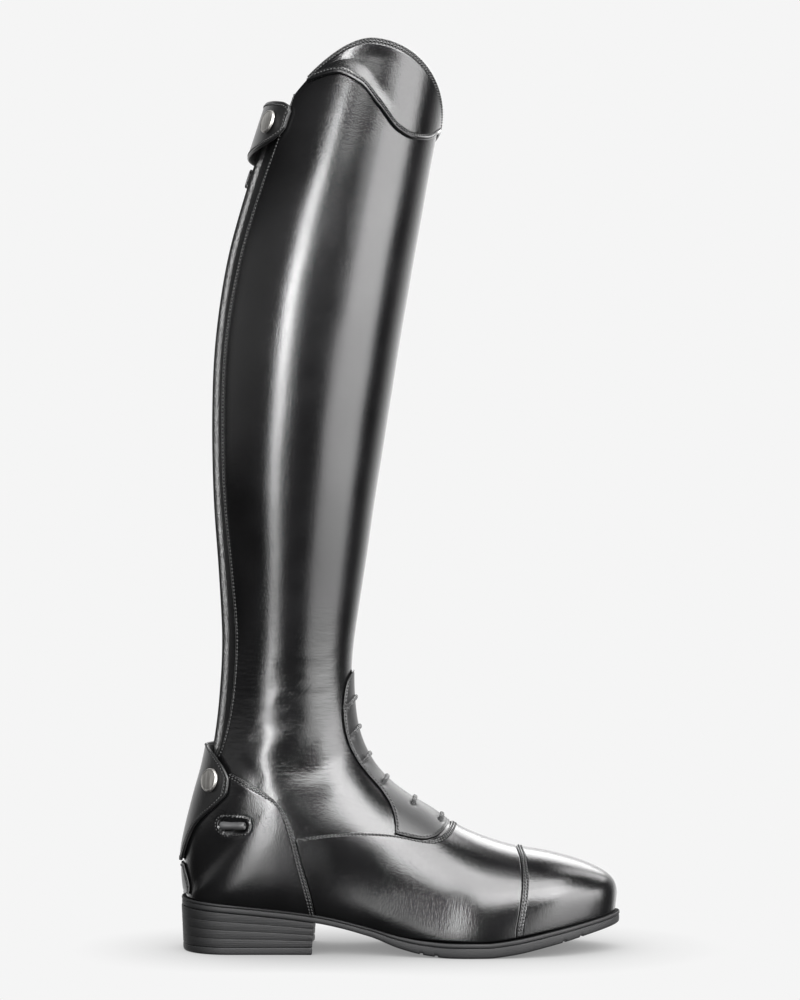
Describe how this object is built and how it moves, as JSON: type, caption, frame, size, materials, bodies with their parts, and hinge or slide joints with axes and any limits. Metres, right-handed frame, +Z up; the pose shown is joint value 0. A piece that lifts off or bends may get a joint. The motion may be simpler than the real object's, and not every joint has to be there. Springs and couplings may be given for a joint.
{
  "type": "field boot",
  "caption": "Tall right riding boot with a raised outer top, laced instep, capped toe, zip and elastic up the back under snapped flaps, spur rests and a stacked heel",
  "frame": {"origin": "middle of the boot's box, on the floor under it", "axes": "+X to the toe, -Y to the outer side of this right boot, +Z up"},
  "size_m": [0.2732, 0.1094, 0.5565],
  "materials": {
    "leather": "smooth black, polished",
    "panel_leather": "soft black, satin",
    "heel_leather": "layered, black, satin",
    "sole_rubber": "matte black",
    "welt_edge": "black, satin",
    "insole": "matte",
    "elastic": "ribbed, matte black",
    "zip_tape": "woven, black",
    "zip_teeth": "black coil",
    "zip_metal": "dark, semi-gloss",
    "snap_metal": "dark polished",
    "lace": "round cord, black"
  },
  "bodies": {
    "boot": {"outsole": "sole_rubber", "welt": "welt_edge", "heel_stack": "heel_leather", "heel_toplift": "sole_rubber", "insole": "insole", "upper": "leather", "vamp": "leather", "toe_cap": "leather", "counter": "leather", "heel_patch": "leather", "lacing_panel": "panel_leather", "spanish_cuff": "leather", "top_flap": "leather", "heel_flap": "leather", "elastic_panel": "elastic", "zip_facing": "leather", "zip_tape": "zip_tape", "zip_chain": "zip_teeth", "zip_slider": "zip_metal", "top_snap": "snap_metal", "heel_snap": "snap_metal", "spur_rest_lateral": "leather", "spur_rest_medial": "leather", "lace_bar_1": "lace", "lace_bar_2": "lace", "lace_bar_3": "lace", "lace_bar_4": "lace", "lace_bar_5": "lace", "lace_bar_6": "lace"},
    "pull": {"zip_pull": "zip_metal"}
  },
  "joints": [
    {"name": "zip_pull_hinge", "type": "hinge", "parent": "boot", "child": "pull", "pos_m": [-0.09268, 0.01165, 0.4829], "axis": [0.2074, 0.9769, -0.052], "range_deg": [0, 95]}
  ]
}
